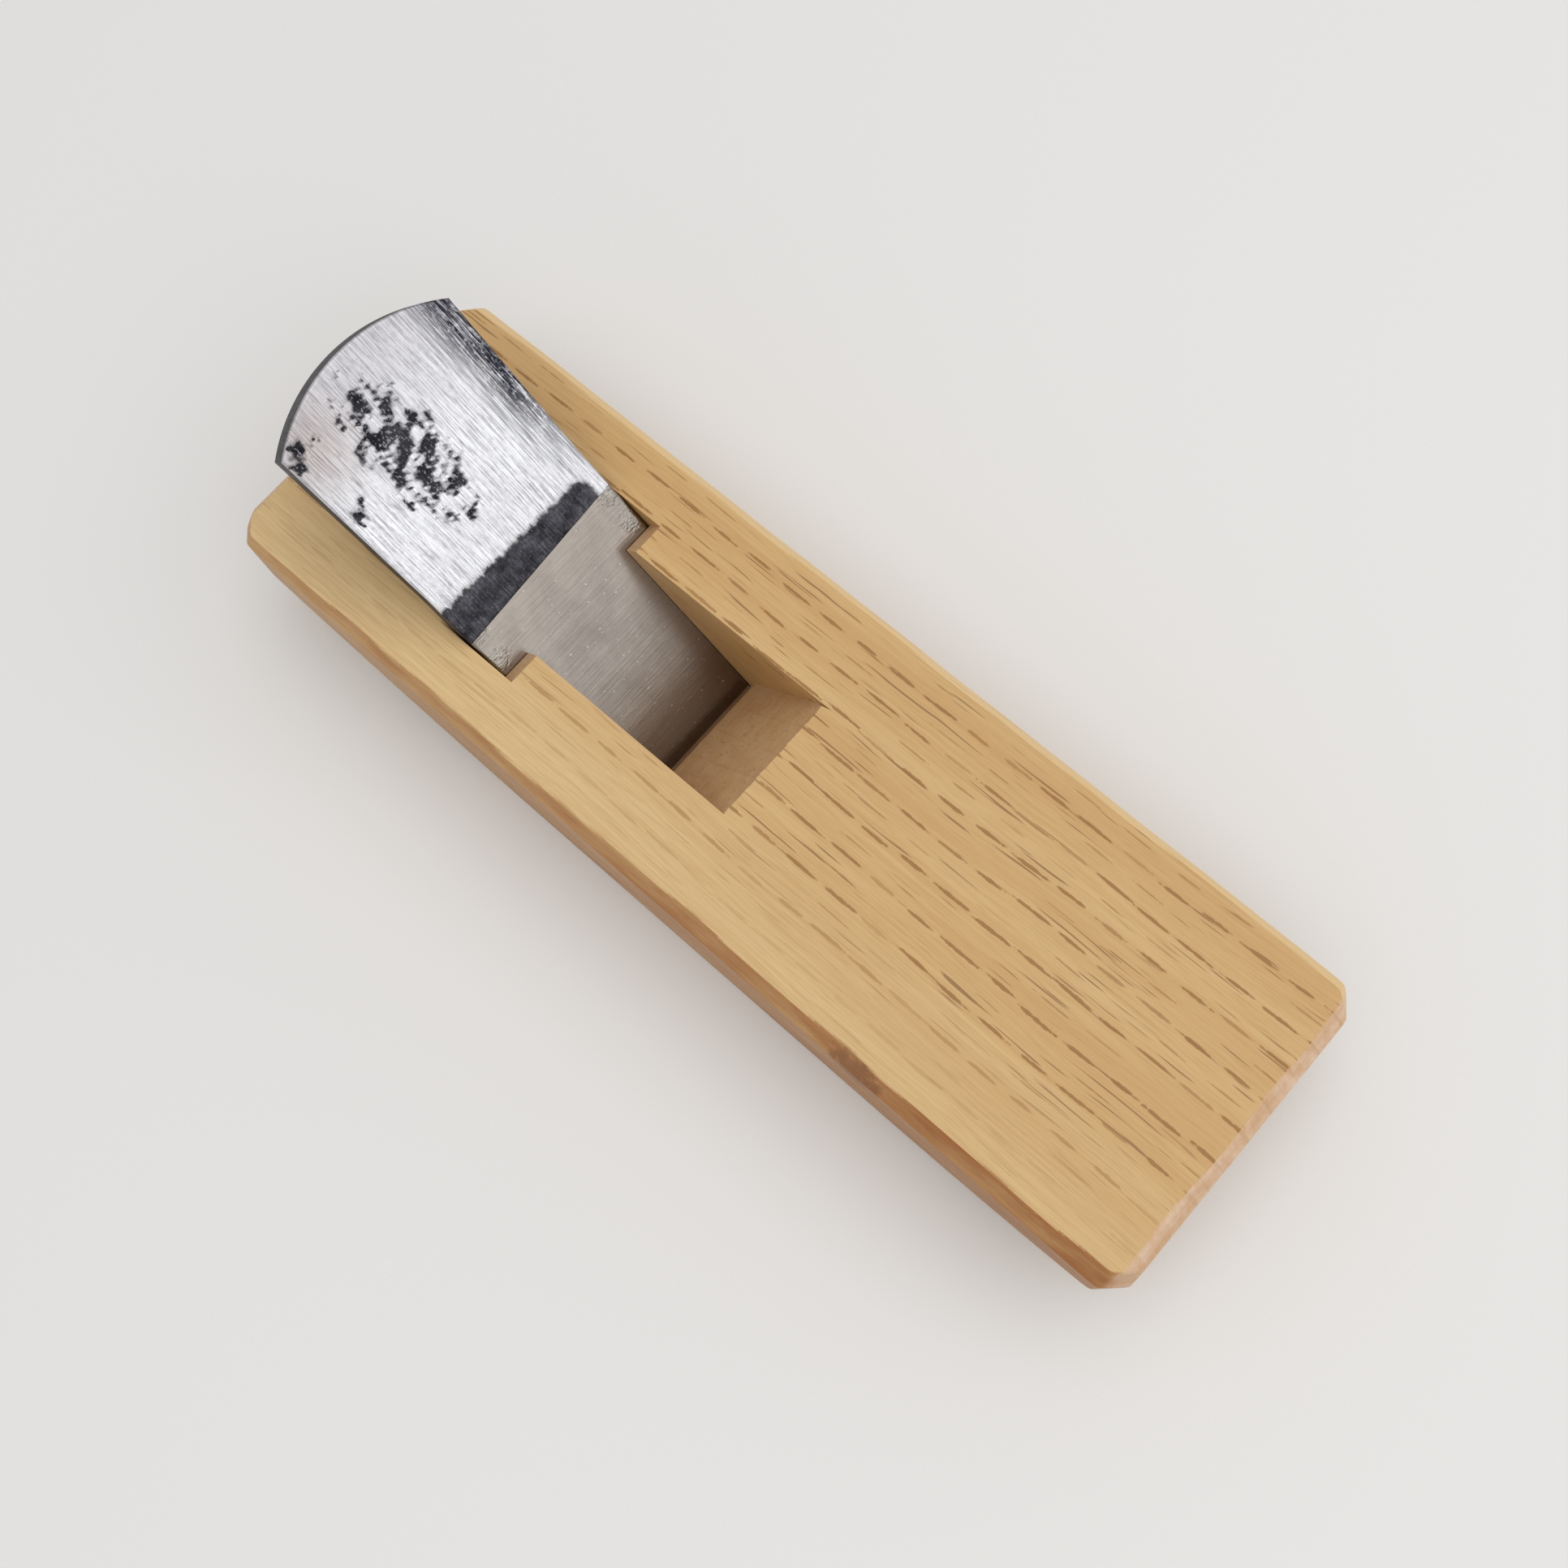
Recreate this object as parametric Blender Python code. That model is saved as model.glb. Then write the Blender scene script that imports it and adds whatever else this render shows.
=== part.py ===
"""Small wooden pull plane with a curved sole: an oak block with a laminated blade wedged in it.

Metres, +Z up. +X points to the toe, the end that leads when the plane cuts, and the blade's head
leans back over the heel. The origin lies under the middle of the block, on the surface it stands on.
"""

from math import cos, radians, sin, sqrt, tan

import bmesh
import bpy
from mathutils import Vector

# Oak block
BODY_LENGTH = 0.162
BODY_WIDTH = 0.050
BODY_HEIGHT = 0.022
CORNER_CUT = 0.003          # upright cut on each of the four corners, along each side
CORNER_TOP_CHAMFER = 0.0012
TOE_CHAMFER = 0.0020
HEEL_CHAMFER = 0.0009
NEAR_CHAMFER = 0.0020       # on the side at -Y
FAR_CHAMFER = 0.0011        # on the side at +Y

# Sole: a flat land in the middle, and a convex sweep up to each end
LAND_HEEL = 0.030           # from the middle of the block back to the land's end
LAND_TOE = 0.038            # from the middle of the block forward to the land's end
HEEL_RISE = 0.0115
HEEL_BULGE = 0.0012
TOE_RISE = 0.0105
TOE_BULGE = 0.0026
SWEEP_STEPS = 16

# Blade, measured along its face (u, down to the edge), across it (w) and square to it (v)
BLADE_ANGLE = radians(40.0)
BLADE_BACKSET = 0.0394      # from the middle of the block back to where the face leaves the top
BLADE_WIDTH = 0.030
HEAD_FLARE = 0.0008         # extra half width at the head
FLARE_START = 0.010         # how far above the block's top the flare starts, along the face
BLADE_STANDOUT = 0.0366     # from the block's top to the head's corners, along the face
HEAD_CROWN = 0.0050         # rise of the head's arc over its corners
CROWN_STEPS = 28
HEAD_THICKNESS = 0.0060
EDGE_THICKNESS = 0.0030     # the taper carried down to the edge
BEVEL_ANGLE = radians(28.0)
EDGE_ABOVE_SOLE = 0.0003
EAR_LAP = 0.0048            # how far each ear lies in its groove
EAR_GRIND = 0.0075          # length over which the ears are ground away above the edge

# Hard steel layer, forge-welded to the lower part of the iron's face
STEEL_THICKNESS = 0.0012
STEEL_ABOVE_TOP = 0.0025    # how far it runs up past the block's top, along the face
WELD_GAP = 0.0002

# Throat and mouth
THROAT_ANGLE = radians(51.0)
LIP_HEIGHT = 0.0035         # upright wall below the throat's slope
MOUTH_GAP = 0.0013          # in front of the blade's face, at the sole
NOTCH_SET = 0.0050          # from the block's top down to the grooves' mouths, along the face

# Fits
PLAY = 0.0003               # between the blade and the wood
DEPTH_TRAVEL = 0.0010       # how far the blade can be driven down from rest

# Room that cutters keep outside the wood
MARGIN = 0.010

HALF_LENGTH = BODY_LENGTH / 2
HALF_WIDTH = BODY_WIDTH / 2
HALF_BLADE = BLADE_WIDTH / 2
HALF_THROAT = HALF_BLADE - EAR_LAP
HALF_EDGE = HALF_THROAT - PLAY
HALF_SLOT = HALF_BLADE + PLAY
EDGE_AT = (BODY_HEIGHT - EDGE_ABOVE_SOLE) / sin(BLADE_ANGLE)
HEAD_AT = -BLADE_STANDOUT - HEAD_CROWN
MOUTH_X = -BLADE_BACKSET + BODY_HEIGHT / tan(BLADE_ANGLE) + MOUTH_GAP


def clear_scene():
    """Remove every object, so that the script starts from an empty scene."""
    for item in list(bpy.data.objects):
        bpy.data.objects.remove(item, do_unlink=True)


def finish(name, colour, metallic, roughness):
    """A plain material: linear colour, metallic value and roughness."""
    material = bpy.data.materials.new(name)
    material.use_nodes = True
    shader = material.node_tree.nodes["Principled BSDF"]
    shader.inputs["Base Color"].default_value = (*colour, 1.0)
    shader.inputs["Metallic"].default_value = metallic
    shader.inputs["Roughness"].default_value = roughness
    return material


def arc(start, end, bulge, steps):
    """Points of a circular arc from start to end, standing off its chord by bulge on the right."""
    start, end = Vector(start), Vector(end)
    chord = end - start
    half = chord.length / 2
    radius = (half * half + bulge * bulge) / (2 * bulge)
    along = chord.normalized()
    right = Vector((along.y, -along.x))
    points = []
    for step in range(steps + 1):
        run = half * (2 * step / steps - 1)
        rise = sqrt(radius * radius - run * run) - (radius - bulge)
        points.append((start + end) / 2 + along * run + right * rise)
    return points


def side_prism(outline, half_width):
    """A mesh from an outline of (x, z) points, carried from -half_width to +half_width along y."""
    return prism([(x, -half_width, z) for x, z in outline], (0, 2 * half_width, 0))


def plan_prism(outline, low, high):
    """A mesh from an outline of (x, y) points, carried from low to high along z."""
    return prism([(x, y, low) for x, y in outline], (0, 0, high - low))


def prism(corners, shift):
    """One flat face and its copy at shift, with walls between them and every face pointing out."""
    bm = bmesh.new()
    face = bm.faces.new([bm.verts.new(corner) for corner in corners])
    grown = bmesh.ops.extrude_face_region(bm, geom=[face])["geom"]
    moved = [item for item in grown if isinstance(item, bmesh.types.BMVert)]
    bmesh.ops.translate(bm, verts=moved, vec=shift)
    bmesh.ops.recalc_face_normals(bm, faces=bm.faces)
    return bm


def plane_off(bm, point, normal):
    """Take off everything beyond a plane, as a plane iron would, and close the cut."""
    everything = bm.verts[:] + bm.edges[:] + bm.faces[:]
    cut = bmesh.ops.bisect_plane(bm, geom=everything, dist=1e-7, plane_co=point, plane_no=normal,
                                 clear_outer=True)
    rim = [item for item in cut["geom_cut"] if isinstance(item, bmesh.types.BMEdge)]
    bmesh.ops.edgeloop_fill(bm, edges=rim)


def solid(name, bm, material=None, parent=None):
    """An object from a bmesh, with crisp arrises and smooth curves; one with no material is a cutter."""
    mesh = bpy.data.meshes.new(name)
    bm.to_mesh(mesh)
    bm.free()
    mesh.shade_smooth()
    mesh.set_sharp_from_angle(angle=radians(20.0))
    made = bpy.data.objects.new(name, mesh)
    bpy.context.scene.collection.objects.link(made)
    made.parent = parent
    if material:
        mesh.materials.append(material)
    else:
        made.hide_render = True
        made.display_type = "WIRE"
    return made


def combine(target, operation, cutter):
    """Add a Boolean modifier to target."""
    modifier = target.modifiers.new(cutter.name, "BOOLEAN")
    modifier.operation = operation
    modifier.solver = "EXACT"
    modifier.object = cutter


def blade_frame():
    """An empty on the blade's face where it leaves the block: its x runs down the face, its z off it."""
    frame = bpy.data.objects.new("blade_frame", None)
    frame.location = (-BLADE_BACKSET, 0, BODY_HEIGHT)
    frame.rotation_euler = (0, BLADE_ANGLE, 0)
    bpy.context.scene.collection.objects.link(frame)
    return frame


def back(u):
    """How far below the face the blade's back lies: the wedge thins steadily from head to edge."""
    share = (EDGE_AT - u) / (EDGE_AT - HEAD_AT)
    return EDGE_THICKNESS + (HEAD_THICKNESS - EDGE_THICKNESS) * share


def block():
    """The block before its throat is cut: side profile, upright corner cuts and top chamfers."""
    heel = arc((-HALF_LENGTH, HEEL_RISE), (-LAND_HEEL, 0), HEEL_BULGE, SWEEP_STEPS)
    toe = arc((LAND_TOE, 0), (HALF_LENGTH, TOE_RISE), TOE_BULGE, SWEEP_STEPS)
    top = [(HALF_LENGTH, BODY_HEIGHT), (-HALF_LENGTH, BODY_HEIGHT)]
    bm = side_prism([tuple(p) for p in heel + toe] + top, HALF_WIDTH)
    for end in (-1, 1):
        for side in (-1, 1):
            plane_off(bm, (end * (HALF_LENGTH - CORNER_CUT), side * HALF_WIDTH, 0), (end, side, 0))
    plane_off(bm, (HALF_LENGTH, 0, BODY_HEIGHT - TOE_CHAMFER), (1, 0, 1))
    plane_off(bm, (-HALF_LENGTH, 0, BODY_HEIGHT - HEEL_CHAMFER), (-1, 0, 1))
    plane_off(bm, (0, HALF_WIDTH, BODY_HEIGHT - FAR_CHAMFER), (0, 1, 1))
    plane_off(bm, (0, -HALF_WIDTH, BODY_HEIGHT - NEAR_CHAMFER), (0, -1, 1))
    for end in (-1, 1):
        for side in (-1, 1):
            corner = (end * (HALF_LENGTH - CORNER_CUT), side * HALF_WIDTH, BODY_HEIGHT - CORNER_TOP_CHAMFER)
            plane_off(bm, corner, (end, side, sqrt(2)))
    return bm


def throat():
    """The chip hollow ahead of the blade: a slope down to an upright lip, and the mouth below it."""
    slope_top = MOUTH_X + (BODY_HEIGHT + MARGIN - LIP_HEIGHT) / tan(THROAT_ANGLE)
    behind = Vector((-BLADE_BACKSET, BODY_HEIGHT)) - PLAY * Vector((sin(BLADE_ANGLE), cos(BLADE_ANGLE)))
    down = Vector((cos(BLADE_ANGLE), -sin(BLADE_ANGLE)))
    over = behind - down * (MARGIN / sin(BLADE_ANGLE))
    under = behind + down * ((BODY_HEIGHT + MARGIN) / sin(BLADE_ANGLE))
    return side_prism([
        (slope_top, BODY_HEIGHT + MARGIN),
        tuple(over),
        tuple(under),
        (max(MOUTH_X, under.x + MOUTH_GAP), under.y),
        (MOUTH_X, 0),
        (MOUTH_X, LIP_HEIGHT),
    ], HALF_THROAT)


def slot():
    """The blade's seat, in the blade's frame: bed, side grooves and the open notch above them."""
    top = HEAD_AT
    end = EDGE_AT + DEPTH_TRAVEL + MARGIN
    open_above = NOTCH_SET * tan(BLADE_ANGLE) + MARGIN
    bm = side_prism([
        (top, open_above),
        (NOTCH_SET, open_above),
        (NOTCH_SET, PLAY),
        (end, PLAY),
        (end, -back(end) - PLAY),
        (top, -back(top) - PLAY),
    ], HALF_SLOT)
    room = DEPTH_TRAVEL + PLAY
    for side in (-1, 1):
        start = (EDGE_AT - EAR_GRIND + room, side * HALF_SLOT, 0)
        plane_off(bm, start, (HALF_BLADE - HALF_EDGE, side * EAR_GRIND, 0))
    return bm


def blade_outline():
    """The blade seen square to its face: crowned head, slight flare, and ears ground to the edge."""
    half_head = HALF_BLADE + HEAD_FLARE
    crown = arc((-BLADE_STANDOUT, half_head), (-BLADE_STANDOUT, -half_head), HEAD_CROWN, CROWN_STEPS)
    outline = [tuple(p) for p in crown]
    outline += [(-FLARE_START, -HALF_BLADE), (EDGE_AT - EAR_GRIND, -HALF_BLADE), (EDGE_AT, -HALF_EDGE)]
    outline += [(EDGE_AT, HALF_EDGE), (EDGE_AT - EAR_GRIND, HALF_BLADE), (-FLARE_START, HALF_BLADE)]
    return plan_prism(outline, -2 * HEAD_THICKNESS, HEAD_THICKNESS)


def bevel_at(depth):
    """Where the ground bevel lies along the face, at a depth below it."""
    return EDGE_AT - depth / tan(BEVEL_ANGLE)


def heel_of_bevel():
    """Where the bevel meets the blade's tapered back, along the face."""
    taper = (HEAD_THICKNESS - EDGE_THICKNESS) / (EDGE_AT - HEAD_AT)
    return EDGE_AT - EDGE_THICKNESS / (tan(BEVEL_ANGLE) - taper)


def iron_wedge():
    """The soft iron: a wedge with a shallow step where the steel layer lies, and the bevel."""
    step = STEEL_THICKNESS + WELD_GAP
    heel = heel_of_bevel()
    return side_prism([
        (HEAD_AT - MARGIN, 0),
        (HEAD_AT - MARGIN, -back(HEAD_AT - MARGIN)),
        (heel, -back(heel)),
        (bevel_at(step), -step),
        (-STEEL_ABOVE_TOP - WELD_GAP, -step),
        (-STEEL_ABOVE_TOP - WELD_GAP, 0),
    ], BLADE_WIDTH)


def steel_layer():
    """The hard steel: a thin plate that ends in the cutting edge."""
    return side_prism([
        (-STEEL_ABOVE_TOP, 0),
        (-STEEL_ABOVE_TOP, -STEEL_THICKNESS),
        (bevel_at(STEEL_THICKNESS), -STEEL_THICKNESS),
        (EDGE_AT, 0),
    ], BLADE_WIDTH)


def build():
    """Make the block, the two layers of the blade, and the cutters that shape them."""
    clear_scene()
    oak = finish("oiled_oak", (0.66, 0.45, 0.20), 0.0, 0.55)
    iron = finish("filed_iron", (0.50, 0.49, 0.47), 1.0, 0.38)
    steel = finish("honed_steel", (0.42, 0.39, 0.36), 1.0, 0.45)
    frame = blade_frame()

    body = solid("plane_body", block(), oak)
    combine(body, "DIFFERENCE", solid("slot_cutter", slot(), parent=frame))
    combine(body, "DIFFERENCE", solid("throat_cutter", throat()))

    outline = solid("outline_cutter", blade_outline(), parent=frame)
    combine(solid("blade_iron", iron_wedge(), iron, frame), "INTERSECT", outline)
    combine(solid("blade_steel", steel_layer(), steel, frame), "INTERSECT", outline)
    bpy.context.view_layer.update()


build()
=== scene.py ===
"""Looks of a small wooden pull plane: an oak block with a curved sole and a laminated blade in it."""

import bmesh
import bpy
import numpy as np
from mathutils import Matrix, Vector


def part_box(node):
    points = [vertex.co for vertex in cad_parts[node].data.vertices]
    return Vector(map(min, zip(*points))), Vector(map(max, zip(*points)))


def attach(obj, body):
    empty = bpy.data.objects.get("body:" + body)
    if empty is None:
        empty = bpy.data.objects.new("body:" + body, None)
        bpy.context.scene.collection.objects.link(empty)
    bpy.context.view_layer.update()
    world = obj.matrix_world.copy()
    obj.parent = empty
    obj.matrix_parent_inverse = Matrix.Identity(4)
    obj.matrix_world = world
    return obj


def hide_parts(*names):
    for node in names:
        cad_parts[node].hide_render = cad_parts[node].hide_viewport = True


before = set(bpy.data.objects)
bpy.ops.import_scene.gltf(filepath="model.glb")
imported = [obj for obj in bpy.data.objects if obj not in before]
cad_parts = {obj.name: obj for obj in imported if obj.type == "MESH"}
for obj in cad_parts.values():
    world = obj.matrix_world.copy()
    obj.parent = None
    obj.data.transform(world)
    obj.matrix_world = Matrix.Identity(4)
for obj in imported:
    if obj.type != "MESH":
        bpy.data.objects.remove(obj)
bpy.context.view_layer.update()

# Studio
# A pale matt table top, one large soft lamp overhead that leans a little to the toe and to the far
# side, and an even pale surround. The camera looks down over the toe, as steeply as the photograph does.

MM = 0.001
CAMERA_AT = Vector((64.0, -41.7, 248.9)) * MM
CAMERA_VIEW = Vector((-0.2450, 0.1680, -0.9549))
CAMERA_UP = Vector((-0.6197, 0.7303, 0.2875))
CAMERA_NEAREST = 10 * MM
PHOTO_WIDTH_PX = 1932
FOCAL_LENGTH_PX = 2176.6
FLOOR_HALF = 1500 * MM
FLOOR_GAP = 0.05 * MM       # keeps the floor clear of the sole, which lies at height 0
FLOOR_COLOUR = "#E9E7E4"
FLOOR_ROUGHNESS = 0.9
LAMP_TOWARDS = Vector((0.30, 0.10, 0.90))
LAMP_DISTANCE = 800 * MM
LAMP_SIDE = 1300 * MM
LAMP_WATTS = 4.6
SURROUND_COLOUR = "#F4F5F7"
SURROUND_STRENGTH = 0.65


def linear(code):
    """An sRGB hex colour as linear red, green, blue and alpha."""
    srgb = np.array([int(code[i:i + 2], 16) for i in (1, 3, 5)]) / 255
    rgb = np.where(srgb <= 0.04045, srgb / 12.92, ((srgb + 0.055) / 1.055) ** 2.4)
    return (*rgb.tolist(), 1.0)


def new_material(name):
    """A node material, with its tree and its Principled shader."""
    material = bpy.data.materials.new(name)
    material.use_nodes = True
    return material, material.node_tree, material.node_tree.nodes["Principled BSDF"]


def link_object(name, data):
    """An object at the origin that holds this data."""
    made = bpy.data.objects.new(name, data)
    bpy.context.scene.collection.objects.link(made)
    return made


scene = bpy.context.scene
scene.view_settings.view_transform = "Standard"

floor_corners = np.array([(-1, -1, 0), (1, -1, 0), (1, 1, 0), (-1, 1, 0)]) * FLOOR_HALF
floor_corners = floor_corners - (0, 0, FLOOR_GAP)
floor_mesh = bpy.data.meshes.new("table_top")
floor_mesh.from_pydata(floor_corners.tolist(), [], [(0, 1, 2, 3)])
# Matt paint gives an even ground that shows only the part's soft shadow.
floor_paint, _, floor_shader = new_material("pale_matt_paint")
floor_shader.inputs["Base Color"].default_value = linear(FLOOR_COLOUR)
floor_shader.inputs["Roughness"].default_value = FLOOR_ROUGHNESS
floor_mesh.materials.append(floor_paint)
floor = link_object("table_top", floor_mesh)

lamp_data = bpy.data.lights.new("soft_lamp", "AREA")
lamp_data.shape = "SQUARE"
lamp_data.size = LAMP_SIDE
lamp_data.energy = LAMP_WATTS
lamp = link_object("soft_lamp", lamp_data)
lamp.location = LAMP_TOWARDS.normalized() * LAMP_DISTANCE
lamp.rotation_euler = LAMP_TOWARDS.to_track_quat("Z", "Y").to_euler()

surround = bpy.data.worlds.new("pale_surround")
surround.use_nodes = True
background = surround.node_tree.nodes["Background"]
background.inputs["Color"].default_value = linear(SURROUND_COLOUR)
background.inputs["Strength"].default_value = SURROUND_STRENGTH
scene.world = surround

camera_data = bpy.data.cameras.new("camera")
camera_data.lens = camera_data.sensor_width * FOCAL_LENGTH_PX / PHOTO_WIDTH_PX
camera_data.clip_start = CAMERA_NEAREST
camera = link_object("camera", camera_data)
back_axis = -CAMERA_VIEW.normalized()
right_axis = CAMERA_UP.cross(back_axis).normalized()
camera_axes = Matrix((right_axis, back_axis.cross(right_axis), back_axis)).transposed()
camera.matrix_world = Matrix.Translation(CAMERA_AT) @ camera_axes.to_4x4()
scene.camera = camera

# Block
# One piece of seasoned oak, sawn so that the top shows the rays as short dark dashes. It is planed
# flat on top, swept up at both ends below, and its edges are eased by hand with a knife and a plane.
# The throat, the bed and the side grooves are chopped out with chisels. Sizes are in millimetres.

BLOCK_LOW, BLOCK_HIGH = (np.array(corner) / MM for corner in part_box("plane_body"))
HALF_LENGTH = (BLOCK_HIGH[0] - BLOCK_LOW[0]) / 2
HALF_WIDTH = (BLOCK_HIGH[1] - BLOCK_LOW[1]) / 2
HEIGHT = BLOCK_HIGH[2]
CORNER_CUT = 3.0            # the upright cuts at the four corners
CORNER_EASE = 0.35
TOE_CHAMFER = 2.0
HEEL_CHAMFER = 0.9
NEAR_CHAMFER = 1.7
NEAR_WIDENING = 0.5         # from the middle of the block to the toe
FAR_CHAMFER = 1.1
NEAR_UNEVEN = 0.40
FAR_UNEVEN = 0.20
TOE_UNEVEN = 0.25
ARRIS = 0.25                # how far the top's edges are eased
SOLE_ARRIS = 0.5
SOLE_EASE = 0.1
LAND_HEEL = 30.0            # the sole's flat land, back from the middle of the block
LAND_TOE = 38.0             # and forward from it
HEEL_RISE = 11.5
HEEL_BULGE = 1.2
TOE_RISE = 10.5
TOE_BULGE = 2.6

# The blade's seat follows the blade: u runs down its face from the block's top, w across it, v off it.
BLADE_ANGLE = np.radians(40.0)
BLADE_BACKSET = 39.4        # from the block's middle back to the blade's face, at the top
DOWN_BLADE = np.array((np.cos(BLADE_ANGLE), 0, -np.sin(BLADE_ANGLE)))
OFF_BLADE = np.array((np.sin(BLADE_ANGLE), 0, np.cos(BLADE_ANGLE)))
BLADE_TOP = np.array((-BLADE_BACKSET, 0, HEIGHT))
PLAY = 0.3
HALF_BLADE = 15.0
HALF_THROAT = 10.2
HALF_EDGE = HALF_THROAT - PLAY
EAR_GRIND = 7.5             # length over which the ears are ground away above the edge
EDGE_ABOVE_SOLE = 0.3
EDGE_AT = (HEIGHT - EDGE_ABOVE_SOLE) / np.sin(BLADE_ANGLE)
HEAD_STANDOUT = 36.6        # length of the blade above the block, at its corners
HEAD_CROWN = 5.0
HEAD_AT = -HEAD_STANDOUT - HEAD_CROWN
HEAD_THICKNESS = 6.0
EDGE_THICKNESS = 3.0
DEPTH_TRAVEL = 1.0          # how far the blade can be driven down from rest
NOTCH_SET = 5.0             # how far down the blade the notches in the top reach
NOTCH_OPEN = 14.0           # how far off the blade the cut above them runs
SLOT_RUNOUT = 10.0          # how far the seat's cut runs past the edge
THROAT_ANGLE = np.radians(51.0)
LIP_HEIGHT = 3.5
MOUTH_GAP = 0.6
MOUTH_X = -BLADE_BACKSET + HEIGHT / np.tan(BLADE_ANGLE) + MOUTH_GAP
THROAT_BELOW = 0.4          # how far the cut runs past the sole
THROAT_ABOVE = 8.0          # and past the top
CHISEL_DEPTH = 0.05
TORN_REACH = 1.5            # how far below the top the fibres are torn
NICK_LENGTH = 1.6
NICK_DEPTH = 0.8

FINE_STEP = 0.25
COARSE_STEP = 1.0
FINE_ENDS = 6.0             # how much of each end has the fine step
FINE_SIDES = 5.0
SIDE_ROWS = 16
SEAT_COLUMNS = 9
LIP_ROWS = 4
SLOPE_ROWS = 40
THROAT_COLUMNS = 60
MERGE_WITHIN = 0.002        # points this close are one
BLOCK_CRISP = 28            # degrees
THROAT_END_GRAIN = 0.4      # the throat's slope cuts the fibres at a slant
# painted shade on the throat's slope, in the orange brown of handling
THROAT_PAINTED_SHADE = 0.35
FAR_HANDLED = 0.3
END_HANDLED = 0.5           # cut ends take less of it than the side

OAK_TAN = "#D6B178"
OAK_BAND = "#CDA369"
OAK_PALE = "#E2C590"
OAK_FIBRE = "#BE925C"
OAK_FINE_FIBRE = "#B3864C"
PORE_COLOUR = "#845B2C"
RAY_COLOUR = "#9B6C34"
END_PALE = "#DFC2A6"
END_DARK = "#CBA075"
END_RING = "#B88A5E"
END_RAY = "#AA8258"
# A painted highlight along the far chamfer.
FAR_CHAMFER_HIGHLIGHT = "#E8C995"
# The orange brown of handling, also used for painted shade on the near side and in the throat.
HANDLED_AND_SHADE_COLOUR = "#9C612C"
BRUISE_COLOUR = "#7C4B24"
BRUISE_AT = (38.0, -24.5, 20.5)
OAK_ROUGHNESS = (0.42, 0.58)
GRAIN_DEPTH = 0.06


def ramp(value, start, span):
    """0 up to a start, 1 from a span further on, and a straight line between."""
    return np.clip((value - start) / span, 0, 1)


def soft_ramp(distance, radius):
    """Half of the distance plus its hypotenuse with the radius: 0 below, the distance above, eased."""
    return 0.5 * (distance + np.sqrt(distance * distance + radius * radius))


def waves(place, spans, seed):
    """Unevenness of a hand tool, -1 to 1: the mean of sines of these wavelengths with seeded phases."""
    phases = np.random.default_rng(seed).uniform(0, 2 * np.pi, len(spans))
    sines = (np.sin(2 * np.pi * place / span + phase) for span, phase in zip(spans, phases))
    return sum(sines) / len(spans)


def sweep(run, length, rise, bulge):
    """Height of the sole past the land: a circle through the sweep's ends, bulging below its chord."""
    chord = np.hypot(length, rise)
    radius = chord * chord / (8 * bulge) + bulge / 2
    centre_run = length / 2 - rise / chord * (radius - bulge)
    centre_height = rise / 2 + length / chord * (radius - bulge)
    reach = np.clip(run, 0, length) - centre_run
    return np.where(run > 0, centre_height - np.sqrt(radius * radius - reach * reach), 0)


def stations(length, fine_zone):
    """Places along a length: a fine step apart in a zone at each end, a coarse step apart between."""
    fine = np.arange(0, fine_zone, FINE_STEP)
    coarse = np.arange(fine_zone, length - fine_zone, COARSE_STEP)
    return np.concatenate((fine, coarse, (length - fine)[::-1]))


def grid_faces(rows, columns, first=0):
    """Quads between neighbours of a grid whose points are numbered row by row."""
    number = first + np.arange(rows * columns).reshape(rows, columns)
    quads = (number[:-1, :-1], number[1:, :-1], number[1:, 1:], number[:-1, 1:])
    return np.stack(quads, -1).reshape(-1, 4)


def shell(front, back):
    """Points and quads of a closed skin: two grids of one shape, joined all round their rims."""
    rows, columns = front.shape[:2]
    count = rows * columns
    number = np.arange(count).reshape(rows, columns)
    rim = np.concatenate((number[0, :-1], number[:-1, -1], number[-1, :0:-1], number[:0:-1, 0]))
    after = np.roll(rim, -1)
    walls = np.stack((rim, after, after + count, rim + count), -1)
    faces = np.concatenate((grid_faces(rows, columns), grid_faces(rows, columns, count), walls))
    return np.concatenate((front.reshape(-1, 3), back.reshape(-1, 3))), faces


def paint(mesh, name, domain, values):
    """Store one number for each face or point, for the material to read."""
    stored = mesh.attributes.new(name, "FLOAT", domain)
    stored.data.foreach_set("value", np.asarray(values, np.float32))


def closed_mesh(name, points, faces, marks=None):
    """A mesh from points in millimetres and quads, with its seams merged and its faces turned out.

    Marks are named numbers, one for each point, that the material reads.
    """
    mesh = bpy.data.meshes.new(name)
    mesh.from_pydata((points * MM).tolist(), [], faces.tolist())
    for mark, values in (marks or {}).items():
        paint(mesh, mark, "POINT", values)
    bm = bmesh.new()
    bm.from_mesh(mesh)
    bmesh.ops.remove_doubles(bm, verts=bm.verts, dist=MERGE_WITHIN * MM)
    bmesh.ops.recalc_face_normals(bm, faces=bm.faces)
    bm.to_mesh(mesh)
    bm.free()
    return mesh


def in_block(u, w, v):
    """Points of the block's frame: the blade's top, plus u down its face, w across it and v off it."""
    u, w, v = np.broadcast_arrays(u, w, v)
    across = w[..., None] * np.array((0, 1, 0))
    return BLADE_TOP + u[..., None] * DOWN_BLADE + across + v[..., None] * OFF_BLADE


def blade_back(u):
    """Depth of the blade's back below its face: the wedge thins steadily from head to edge."""
    return EDGE_THICKNESS + (HEAD_THICKNESS - EDGE_THICKNESS) * (EDGE_AT - u) / (EDGE_AT - HEAD_AT)


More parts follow.
